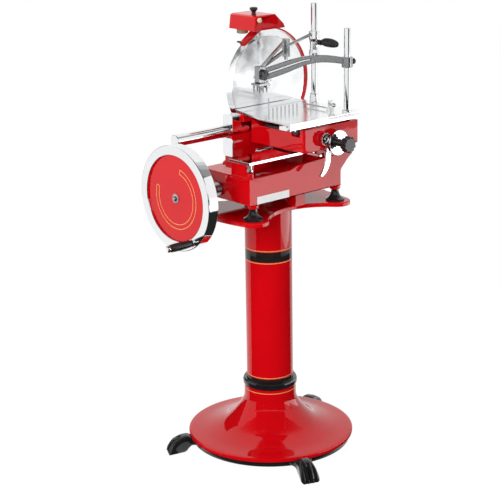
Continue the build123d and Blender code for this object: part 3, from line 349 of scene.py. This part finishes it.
# Width in millimetres of each node's rounded edges. A node that isn't named here has fine ones.
EDGE = {
    "base_housing": 2.2, "rod_wall": 2.0, "blade_upright": 2.0, "carriage_frame": 1.8,
    "chain_cover": 2.0, "sharpener_hood": 1.6, "hone_arm": 1.2, "deck_plate": 0.9, "table_sheet": 0.7,
    "table_frame": 0.9, "press_head": 1.0, "post_clamp": 0.6, "rod_saddles": 0.9, "guide_blocks": 1.0,
    "slide_bars": 0.8, "name_plate": 0.3, "wall_cover": 0.6, "bridge_plate": 0.7, "feed_knob": 1.0,
    "feed_yoke": 1.0, "index_wheel": 0.6, "feed_lever": 1.4, "head_knob": 1.0, "fence_bracket": 0.6,
    "hub_screw": 0.6, "trip_bar": 0.8, "drive_link": 0.5, "blade_guard": 0.8,
}
FINE_EDGE = 0.25
for name, node in frame["nodes"].items():
    node.data.materials.clear()
    node.data.materials.append(STONE if name == "grind_stone" else SLOTS[SLOT_OF[name]])
    soften(node, EDGE.get(name, FINE_EDGE), weld=True)

# ---------------------------------------------------------------- trumpet foot, its collar and the column

TRUMPET_NECK = 80
TRUMPET_THROAT = 71
ROD_HOLE = 8.5
trumpet_top = [(TRUMPET_NECK, z) for z in (COLUMN_FOOT, 193.5, 191, 186)]
trumpet_flare = smooth_line([(TRUMPET_NECK, 180), (80.6, 165), (84.5, 152), (96, 132), (120, 104.5),
                             (150, 81), (200, 64), (247, 57.6)], 8)
trumpet_lip = smooth_line([(251, 56.8), (254.4, 55), (255.5, 51.5), (255.5, 46)], 4)
trumpet_inside = smooth_line([(246, 46), (237.5, 46.5), (200, 53), (143, 69), (110, 97),
                              (TRUMPET_THROAT, 163), (TRUMPET_THROAT, 193)], 6)
trumpet_web = [(ROD_HOLE, 193), (ROD_HOLE, COLUMN_FOOT)]
# The neck's second step is its gold line
turned_piece("pedestal_trumpet", "pedestal_base", "frame", "red_enamel",
             trumpet_top + trumpet_flare + trumpet_lip + trumpet_inside + trumpet_web, GROUND, Z, 160,
             band=lambda row: 1 if row == 1 else 0, materials=(RED, GOLD))

# The collar carries a thinner sleeve, painted as the column's band is
turned_piece("neck_collar", "neck_ring", "frame", "black_enamel",
             [(80, COLUMN_FOOT), (82.2, 204), (83.6, 208), (84, 213), (83.6, 218), (82.2, 222), (80, 224),
              (73, 224), (73, 236), (71.8, 236), (71.8, COLUMN_FOOT)], GROUND, Z, 128,
             band=lambda row: 1 if row in (7, 8) else 0, width=0.5, materials=(BLACK, BAND))

# The column's gold lines start at these heights, and its black band lies between the upper two
LINE_STARTS = (238.4, 605.6, 643.5)
LINE_WIDTH = 2.4
BAND_LOW, BAND_HIGH = 610, 641
PLAIN, LINED, BANDED = 0, 1, 2
line_ends = [start + LINE_WIDTH for start in LINE_STARTS]
column_rows = sorted([COLUMN_FOOT, *LINE_STARTS, *line_ends, BAND_LOW, BAND_HIGH, COLUMN_TOP])
column_paint = {column_rows.index(start): LINED for start in LINE_STARTS}
column_paint[column_rows.index(BAND_LOW)] = BANDED
turned_piece("column_tube", "column", "frame", "red_enamel",
             [(COLUMN_RADIUS, z) for z in column_rows]
             + [(COLUMN_INSIDE, COLUMN_TOP), (COLUMN_INSIDE, COLUMN_FOOT)], GROUND, Z, 128,
             band=lambda row: column_paint.get(row, PLAIN), materials=(RED, GOLD, BAND))

# ---------------------------------------------------------------- bell feet, each with its stud's nut below

make = bmesh.new()
bell = smooth_line([(28.5, 5), (25.5, 6.4), (20, 10), (15.6, 15), (13, 21), (11.6, 27), (11, 33)], 4)
for x in (-BELL_X, BELL_X):
    for y in (-BELL_Y, BELL_Y):
        foot = spot(x, y, PLATE_HEIGHT)
        turned(make, [(0, 34.5), (0, 0), (27.5, 0), (28.5, 1.2)] + bell + [(11, 34.5)], foot, Z, 64)
        turned(make, [(0, -19), (0, -12), (8, -12), (8, -18.2), (7.2, -19)], foot, Z, 6)
finished("bell_feet_turned", make, "frame", "black_enamel", "bell_feet", width=0.4)

# ---------------------------------------------------------------- paws

PAW_ANGLES = (152, 249, 20)
# Reach from the column's axis, half the width, low edge and high edge
PAW_SECTIONS = [
    (226, 39, 29, 45.6), (246, 36, 28, 46), (256, 27, 24, 50), (264, 23, 15, 56), (274, 22.5, 3, 56.8),
    (288, 24.5, 0.3, 54), (300, 26.8, 0, 47), (312, 28.2, 0, 37), (322, 28.6, 0, 24), (328, 27, 1, 13),
]
PAW_CORNERS = 72
PAW_SQUARENESS = 0.62
TOES_START, TOES_RUN = 282, 34
TOE_FULLNESS = 0.55
DENT_TOP, DENT_FRONT, DENT_LEAST = 5.2, 5.0, 0.25
KNUCKLE_START, KNUCKLE_RUN, KNUCKLE_RISE = 296, 26, 1.8
CLAW_PLACES = (-0.75, -0.25, 0.25, 0.75)
CLAW = [(0, -3), (3.4, -1), (3.5, 3), (2.4, 8), (0.6, 12), (0, 12.4)]


def paw(mesh_maker, angle):
    """A cast lion's paw: an ankle that swells into four clawed toes."""
    out = Vector((cos(radians(angle)), sin(radians(angle)), 0))
    side = Vector((-out.y, out.x, 0))

    def place(reach, aside, high):
        return GROUND + (out * reach + side * aside + Z * high) / 1000

    rings = []
    for reach, half, low, high in smooth_line(PAW_SECTIONS, 4):
        toes = clamped((reach - TOES_START) / TOES_RUN)
        arch = KNUCKLE_RISE * toes * sin(pi * clamped((reach - KNUCKLE_START) / KNUCKLE_RUN))
        ring = []
        for k in range(PAW_CORNERS):
            turn = 2 * pi * k / PAW_CORNERS
            across = shaped(cos(turn), PAW_SQUARENESS)
            up = shaped(sin(turn), PAW_SQUARENESS)
            lobe = abs(sin(2 * pi * across)) ** TOE_FULLNESS
            dent = (1 - lobe) * toes
            top = low + (high - low) * (0.5 + 0.5 * up) + (arch * lobe - DENT_TOP * dent) * max(up, 0)
            push = -DENT_FRONT * dent * max(up, DENT_LEAST) * toes
            ring.append(mesh_maker.verts.new(place(reach + push, half * across, top)))
        rings.append(ring)
    skin(mesh_maker, rings)
    for toe in CLAW_PLACES:
        base = place(322.5, 27.5 * toe, 11)
        tip = place(329.6, 28.5 * toe, 0.5)
        turned(mesh_maker, CLAW, base, (tip - base).normalized(), 16, close=False)


make = bmesh.new()
for angle in PAW_ANGLES:
    paw(make, angle)
turned(make, [(247, 28.8), (247, 45.2), (246.2, 46), (233.8, 46), (233, 45.2), (233, 28.8), (233.8, 28),
              (246.2, 28)], GROUND, Z, 128)
finished("lion_paws", make, "frame", "black_enamel", "paw_feet")

# ---------------------------------------------------------------- flywheel with its grip

turned_piece("flywheel_tyre", "flywheel_rim", "flywheel", "chrome",
             [(150.5, 0), (152.3, 0.8), (153, 2.6), (153, 31.4), (152.3, 33.2), (150.5, 34), (129, 34),
              (125, 30), (125, 12), (117, 12), (117, 10), (125, 10), (125, 1.6), (126.4, 0)],
             spot(RIM_FACE, 0, SHAFT_HEIGHT), X, 160, width=0.7, cuts=3)

turned_piece("flywheel_web", "flywheel_disc", "flywheel", "red_enamel",
             [(12, 0), (60, 0.4), (118, 0), (124.0, 0.3), (124.7, 1), (124.7, 4), (116, 4), (116, 12),
              (34, 12), (30, 32), (12, 32)], spot(DISC_FACE, 0, SHAFT_HEIGHT), X, 160, width=0.4)

# The pinstripe is an open horseshoe of two gold lines, its angles counted from +Y round to +Z
STRIPE_HALF = 1.1
STRIPE_GAP = 0.15
STRIPE_CROWN = 0.05
STRIPE_RADII = (76, 89)
STRIPE_CLOSER = (76, 80, 85, 89)
STRIPE_ENDS = (18, -255.7)
STRIPE_STEPS = 90


def polar(radius, angle):
    """A (y, z) place on the disc."""
    return Vector((cos(radians(angle)), sin(radians(angle)))) * radius


def stripe(mesh_maker, points):
    """Adds a thin flat line on the disc's face through (y, z) points from its centre."""
    rows = []
    for i, here in enumerate(points):
        ahead = points[min(i + 1, len(points) - 1)] - points[max(i - 1, 0)]
        across = Vector((-ahead.y, ahead.x)).normalized() * STRIPE_HALF
        row = []
        for way, lift in ((1, 0), (0, STRIPE_CROWN), (-1, 0)):
            y, z = here + across * way
            row.append(mesh_maker.verts.new(spot(DISC_FACE - STRIPE_GAP - lift, y, SHAFT_HEIGHT + z)))
        rows.append(row)
    for lower, upper in zip(rows, rows[1:]):
        for k in range(2):
            mesh_maker.faces.new((lower[k], lower[k + 1], upper[k + 1], upper[k]))


make = bmesh.new()
first, last = STRIPE_ENDS
angles = [first + (last - first) * i / STRIPE_STEPS for i in range(STRIPE_STEPS + 1)]
for radius in STRIPE_RADII:
    stripe(make, [polar(radius, angle) for angle in angles])
for angle in STRIPE_ENDS:
    stripe(make, [polar(radius, angle) for radius in STRIPE_CLOSER])
finished("wheel_pinstripe", make, "flywheel", "red_enamel", materials=(GOLD,))

turned_piece("grip_turned", "crank_grip", "crank_handle", "black_plastic",
             [(5.05, 10.3), (8.4, 10.3), (9.4, 11.2), (10.2, 15), (11.4, 30), (12, 50), (11.8, 70),
              (11, 82), (9.6, 87.4), (8.8, 88.3), (5.05, 88.3)],
             spot(RIM_FACE, CRANK_PIN_Y, CRANK_PIN_HEIGHT), -X, 64, width=0.6)

# ---------------------------------------------------------------- guide rod, posts and blade

turned_piece("guide_rod_turned", "guide_rod", "frame", "chrome",
             [(0, 0), (12, 0), (16.6, 0.4), (18, 1.8), (18, 501.2), (16.6, 502.6), (12, 503), (0, 503)],
             spot(*ROD_START), X, 96, close=False, width=0.4)

# Each post's place, its height above the table and that of its socket
POSTS = ((TALL_POST_Y, 307, 37), (SHORT_POST_Y, 246, 37 / 6))
make = bmesh.new()
for y, top, socket in POSTS:
    turned(make, [(0, 0), (14.5, 0), (14.5, socket - 1.2), (13.4, socket), (10, socket), (10, top - 2),
                  (9.4, top - 0.6), (8, top), (0, top)], spot(POST_X, y, TABLE_HEIGHT), Z, 64, close=False)
finished("posts_turned", make, "table", "chrome", "table_posts", width=0.3)

turned_piece("blade_disc", "blade", "knife", "polished_steel",
             [(10, 0), (158, 0), (160, 0.6), (150, 2.2), (141, 3.2), (140.2, 3.9), (139.2, 4), (10, 4)],
             spot(*BLADE_CENTRE), -Y, 256, materials=(BLADE,))

# ---------------------------------------------------------------- press arm

ARM_START = Vector((POST_X, SHORT_POST_Y))
ARM_END = Vector((-30, -22))
# Share of the run, height of the middle and half the depth
ARM_SECTIONS = [
    (0.0, 1200, 9.5), (0.15, 1207, 10), (0.32, 1210.5, 10.5), (0.48, 1207.5, 12.5), (0.6, 1200.5, 15),
    (0.78, 1186.5, 17.5), (1.0, 1170.5, 17),
]
ARM_HALF = 6.0
GROOVE_DEPTH = 3.6
GROOVE_START, GROOVE_IN = 0.42, 0.08
GROOVE_OUT = 0.05
GROOVE_HIGHLIGHT_FLOORS = (2, 10)


def arm_section(half, groove):
    """The arm's corners as (aside, up), with a groove of that depth along both sides."""
    bottom = ARM_HALF - groove
    flat_half = ARM_HALF - 1
    one_side = [(ARM_HALF, 1 - half), (ARM_HALF, -0.14 * half), (bottom, -0.06 * half),
                (bottom, 0.24 * half), (ARM_HALF, 0.32 * half), (ARM_HALF, half - 1), (flat_half, half)]
    other_side = [(-aside, up) for aside, up in reversed(one_side)]
    return one_side + other_side + [(-flat_half, -half), (flat_half, -half)]


make = bmesh.new()
arm_way = (ARM_END - ARM_START).normalized()
arm_side = Vector((-arm_way.y, arm_way.x))
rings = []
grooves = []
for share, middle, half in smooth_line(ARM_SECTIONS, 10):
    along = ARM_START + (ARM_END - ARM_START) * share
    inward = clamped((share - GROOVE_START) / GROOVE_IN) * clamped((1.0 - share) / GROOVE_OUT)
    groove = GROOVE_DEPTH * inward
    ring = []
    for aside, up in arm_section(half, groove):
        x, y = along + arm_side * aside
        ring.append(make.verts.new(spot(x, y, middle + up)))
    rings.append(ring)
    grooves.append(groove)
# The groove's floor faces take polished steel as a painted highlight: the brighter finish stands for the
# light that the groove reflects
skin(make, rings, band=lambda row, k: 1 if grooves[row] > 1 and k in GROOVE_HIGHLIGHT_FLOORS else 0)
turned(make, [(10.05, -15), (15.3, -15), (16.5, -13.8), (16.5, 13.8), (15.3, 15), (10.05, 15)],
       spot(POST_X, SHORT_POST_Y, CLAMP_EYE_HEIGHT), Z, 64)
finished("press_arm_cast", make, "clamp", "cast_aluminium", "press_arm", width=0.5, materials=(CAST, SHEET))

# ---------------------------------------------------------------- paddle: a flattened leaf

PADDLE_Y = -43.3
STEM_Y = PADDLE_Y + 7.9
PADDLE_HEIGHT = 1243
LEAF_Y = PADDLE_Y - 10
LEAF_HEIGHT = PADDLE_HEIGHT + 2
LEAF_HALF = 5.0
LEAF_FULL_HEIGHT = 9
LEAF_THINNING = 0.7
LEAF_CORNERS = 32
# Distance along, high edge and low edge
LEAF_SECTIONS = [
    (4, 5, -5), (-4, 9, -8), (-14, 13, -11), (-28, 14.4, -12), (-42, 14, -12), (-56, 11.6, -10.6),
    (-65, 8, -8), (-69, 4.6, -4), (-70, 1.5, 0.5),
]
make = bmesh.new()
rings = []
for along, high, low in smooth_line(LEAF_SECTIONS, 5):
    middle = (high + low) / 2
    tall = (high - low) / 2
    thick = LEAF_HALF * min(1, (tall / LEAF_FULL_HEIGHT) ** LEAF_THINNING)
    ring = []
    for k in range(LEAF_CORNERS):
        turn = 2 * pi * k / LEAF_CORNERS
        aside = thick * shaped(cos(turn), 0.75)
        up = middle + tall * shaped(sin(turn), 0.9)
        ring.append(make.verts.new(spot(POST_X + aside, LEAF_Y + along, LEAF_HEIGHT + up)))
    rings.append(ring)
skin(make, rings)
turned(make, [(0, 0), (7.2, 0), (8, 0.8), (8, 9.4), (7.2, 10), (0, 10)],
       spot(POST_X, PADDLE_Y, PADDLE_HEIGHT), -Y, 48, close=False)
turned(make, [(0, 0), (3, 0), (3, 8), (0, 8)], spot(POST_X, STEM_Y, PADDLE_HEIGHT), -Y, 24, close=False)
finished("paddle_leaf", make, "paddle", "black_plastic", "clamp_paddle", width=0.3)

# ---------------------------------------------------------------- hood knob and hone arm

turned_piece("hood_knob_turned", "hood_knob", "cover_knob", "black_plastic",
             [(0, -9), (4, -9), (4, 0.3), (7, 0.3), (7.2, 2), (6, 6), (6.2, 9), (9, 13), (11.4, 15.4),
              (12, 17), (12, 19), (11, 21.4), (8, 22.8), (0, 23)],
             spot(*HOOD_TOP_CENTRE), Z, 64, close=False, width=0.3)

# The hone arm is a slim bar from under the hood, with a small knob at its tip
HONE_FACE = 103
HONE_DEPTH = 11
HONE_OUTLINE = [(48, 1292), (-11.5, 1249), (-13, 1244), (-4, 1237), (1, 1237.5), (70, 1280), (78, 1284),
                (78, 1292)]
make = bmesh.new()
skin(make, [[make.verts.new(spot(x, y, z)) for x, z in HONE_OUTLINE]
            for y in (HONE_FACE - HONE_DEPTH, HONE_FACE)])
turned(make, [(0, 0), (3, 0), (3, 5), (5.5, 6), (7.8, 8), (8.4, 11), (7.4, 14), (4, 15.8), (0, 16.2)],
       spot(-10, HONE_FACE - 6, 1245), Vector((-0.8, 0, 0.6)), 40, close=False, band=lambda row: 1)
finished("hone_bar", make, "frame", "red_enamel", "hone_arm", width=1.0, materials=(RED, BLACK))

# ---------------------------------------------------------------- camera

AZIMUTH, ELEVATION, ROLL = radians(41.25), radians(16.73), radians(0.92)
DISTANCE, LENS, SENSOR = 4.419, 105.2, 36.0
TARGET_HEIGHT = 630
TARGET_SHIFT = 0.056
view = Vector((sin(AZIMUTH) * cos(ELEVATION), cos(AZIMUTH) * cos(ELEVATION), -sin(ELEVATION)))
right = Vector((cos(AZIMUTH), -sin(AZIMUTH), 0))
upward = right.cross(view)
tilted = right * cos(ROLL) - upward * sin(ROLL)
standing = right * sin(ROLL) + upward * cos(ROLL)
camera = bpy.data.objects.new("camera", bpy.data.cameras.new("camera"))
camera.data.lens = LENS
camera.data.sensor_width = SENSOR
camera.matrix_world = Matrix((tilted, standing, -view)).transposed().to_4x4()
camera.location = spot(0, 0, TARGET_HEIGHT) - right * TARGET_SHIFT - view * DISTANCE
scene.collection.objects.link(camera)
scene.camera = camera

# ---------------------------------------------------------------- boards that only reflections see

SWEEP_STEPS = 24
DARK = 0.02
FRONT_LEFT, FRONT_RIGHT = -62, 60
# Reach and height in metres of the painted floor shade near the machine
SHADE_NEAR, SHADE_FAR, SHADE_SIDE, SHADE_HEIGHT = 0.3, 1.2, 2.1, 0.003
CEILING_HEIGHT = 3.3
# The ceiling brightens from the front to each side, one board for each step in degrees
SIDE_STRENGTHS = (0.08, 0.18, 0.32, 0.5, 0.7)
SIDE_START, SIDE_STEP = 61, 12
WINDOW_AZIMUTH, WINDOW_DISTANCE = 93, 2.2
WINDOW_FOOT, WINDOW_TOP = 0.004, 0.99
# Where the window's bright low part ends, as (along, height)
WINDOW_SILL = ((-1.4, 0.86), (-0.4, 0.86), (-0.36, 0.6), (1.4, 0.6))


def from_camera(azimuth):
    """A level direction, its azimuth measured from the camera's side, positive to the right."""
    return Matrix.Rotation(radians(azimuth), 3, "Z") @ Vector((-sin(AZIMUTH), -cos(AZIMUTH), 0))


def board(name, rows, strength):
    """A glowing board: rows of places, joined one to the next."""
    width = len(rows[0])
    faces = [(i * width + k, i * width + k + 1, (i + 1) * width + k + 1, (i + 1) * width + k)
             for i in range(len(rows) - 1) for k in range(width - 1)]
    mesh = bpy.data.meshes.new(name)
    mesh.from_pydata([place for row in rows for place in row], [], faces)
    piece = bpy.data.objects.new(name, mesh)
    scene.collection.objects.link(piece)
    paint = bpy.data.materials.new(name)
    paint.use_nodes = True
    nodes = paint.node_tree.nodes
    nodes.clear()
    glow = nodes.new("ShaderNodeEmission")
    glow.inputs["Strength"].default_value = strength
    out = nodes.new("ShaderNodeOutputMaterial")
    paint.node_tree.links.new(glow.outputs[0], out.inputs[0])
    mesh.materials.append(paint)
    piece.visible_camera = False
    piece.visible_diffuse = False
    piece.visible_shadow = False
    piece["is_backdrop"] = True


def swept(start, end, *edges):
    """Rows round the machine between two azimuths, through (distance, height) in metres."""
    rows = []
    for i in range(SWEEP_STEPS + 1):
        facing = from_camera(start + (end - start) * i / SWEEP_STEPS)
        rows.append([GROUND + facing * reach + Z * height for reach, height in edges])
    return rows


def flat(azimuth, distance, *columns):
    """Rows of an upright board square to an azimuth, from (along, low, high) in metres."""
    facing = from_camera(azimuth)
    along = Vector((-facing.y, facing.x, 0))
    middle = GROUND + facing * distance
    return [[middle + along * across + Z * low, middle + along * across + Z * high]
            for across, low, high in columns]


# The dark floor boards near the machine are painted shade: seen only in reflections, they stand for the
# shaded floor round the machine
shade_start, shade_end, shade_side = (SHADE_NEAR, SHADE_HEIGHT), (SHADE_FAR, SHADE_HEIGHT), (SHADE_SIDE, SHADE_HEIGHT)
board("floor_shade", swept(FRONT_LEFT, FRONT_RIGHT, shade_start, shade_end, (SHADE_FAR, 0.88)), DARK)
board("floor_shade_left", swept(-100, FRONT_LEFT, shade_start, shade_side), DARK)
board("floor_shade_right", swept(FRONT_RIGHT, 122, shade_start, shade_side), DARK)
board("ceiling", swept(FRONT_LEFT, FRONT_RIGHT, (0.0, CEILING_HEIGHT), (4.3, CEILING_HEIGHT)), 0.03)
side_edges = ((0.0, CEILING_HEIGHT), (3.1, CEILING_HEIGHT))
for step, strength in enumerate(SIDE_STRENGTHS):
    inner = SIDE_START + step * SIDE_STEP
    outer = inner + SIDE_STEP
    board(f"ceiling_right_{step}", swept(inner, outer, *side_edges), strength)
    board(f"ceiling_left_{step}", swept(-outer, -inner, *side_edges), strength)
bright_part = [(across, WINDOW_FOOT, sill) for across, sill in WINDOW_SILL]
dim_part = [(across, sill, WINDOW_TOP) for across, sill in WINDOW_SILL]
board("window_low", flat(WINDOW_AZIMUTH, WINDOW_DISTANCE, *bright_part), 3.6)
board("window_high", flat(WINDOW_AZIMUTH, WINDOW_DISTANCE, *dim_part), 1.06)
board("flag_top", flat(WINDOW_AZIMUTH, WINDOW_DISTANCE, (-0.42, 0.98, 1.16), (-0.17, 0.99, 1.14)), 0.03)
board("flag_blade", flat(WINDOW_AZIMUTH, 2.0, (-0.4, 0.74, 0.84), (-0.3, 0.82, 0.96), (-0.18, 0.89, 1.02)),
      0.2)
board("flag_right", swept(26, 62, (3.1, 0.0), (3.1, 1.6)), DARK)
board("flag_left", swept(-150, -114, (3.1, 0.0), (3.1, 2.6)), DARK)

# ---------------------------------------------------------------- lamps


def soft_light(name, place, aim, size, energy):
    """A soft lamp that neither the camera nor reflections see."""
    lamp = bpy.data.lights.new(name, "AREA")
    lamp.shape = "RECTANGLE"
    lamp.size, lamp.size_y = size
    lamp.energy = energy
    holder = bpy.data.objects.new(name, lamp)
    holder.location = place
    holder.rotation_euler = (Vector(aim) - Vector(place)).to_track_quat("-Z", "Y").to_euler()
    holder.visible_camera = False
    holder.visible_glossy = False
    scene.collection.objects.link(holder)


soft_light("key_left", (-2.6, -1.2, 1.95), (0, 0, 0.6), (1.5, 1.5), 70)
soft_light("fill_right", (1.7, -2.6, 1.6), (0, 0, 0.6), (1.6, 1.4), 8)
soft_light("top", (0.2, 0.2, 3.6), (0, 0, 0.8), (2.4, 2.4), 42)

# ---------------------------------------------------------------- white surroundings and floor

PURE_WHITE = (1, 1, 1, 1)
FLOOR_GREY = (0.82, 0.82, 0.82, 1)
SURROUND_LIGHT = 0.27
FLOOR_GLOW = 1.08
FLOOR_SHARE = 0.9
FLOOR_RADIUS = 9


def sum_of(tree, first, second, clamp=False):
    """A node that adds two sockets."""
    node = tree.nodes.new("ShaderNodeMath")
    node.operation = "ADD"
    node.use_clamp = clamp
    tree.links.new(first, node.inputs[0])
    tree.links.new(second, node.inputs[1])
    return node.outputs[0]


def looked_at(tree):
    """One where the camera looks, straight, by reflection or through glass, and nought for other light."""
    path = tree.nodes.new("ShaderNodeLightPath").outputs
    straight = sum_of(tree, path["Is Camera Ray"], path["Is Glossy Ray"])
    return sum_of(tree, straight, path["Is Transmission Ray"], clamp=True)


def blended(tree, share, first, second, output):
    """Mixes two shaders by the share, into the output."""
    mix = tree.nodes.new("ShaderNodeMixShader")
    out = tree.nodes.new(output)
    tree.links.new(share, mix.inputs[0])
    tree.links.new(first.outputs[0], mix.inputs[1])
    tree.links.new(second.outputs[0], mix.inputs[2])
    tree.links.new(mix.outputs[0], out.inputs[0])


world = bpy.data.worlds.new("studio")
scene.world = world
world.use_nodes = True
tree = world.node_tree
tree.nodes.clear()
light = tree.nodes.new("ShaderNodeBackground")
fill(light, {"Color": PURE_WHITE, "Strength": SURROUND_LIGHT})
white = tree.nodes.new("ShaderNodeBackground")
fill(white, {"Color": PURE_WHITE})
blended(tree, looked_at(tree), light, white, "ShaderNodeOutputWorld")

floor_mesh = bpy.data.meshes.new("floor")
make = bmesh.new()
bmesh.ops.create_circle(make, cap_ends=True, segments=96, radius=FLOOR_RADIUS)
make.to_mesh(floor_mesh)
make.free()
floor = bpy.data.objects.new("floor", floor_mesh)
scene.collection.objects.link(floor)
floor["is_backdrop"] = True
paint = bpy.data.materials.new("floor")
paint.use_nodes = True
tree = paint.node_tree
tree.nodes.clear()
share = tree.nodes.new("ShaderNodeMath")
share.operation = "MULTIPLY"
share.inputs[1].default_value = FLOOR_SHARE
tree.links.new(looked_at(tree), share.inputs[0])
matte = tree.nodes.new("ShaderNodeBsdfDiffuse")
fill(matte, {"Color": FLOOR_GREY})
glow = tree.nodes.new("ShaderNodeEmission")
fill(glow, {"Strength": FLOOR_GLOW})
blended(tree, share.outputs[0], matte, glow, "ShaderNodeOutputMaterial")
floor_mesh.materials.append(paint)

scene.view_settings.view_transform = "Standard"
low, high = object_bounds()
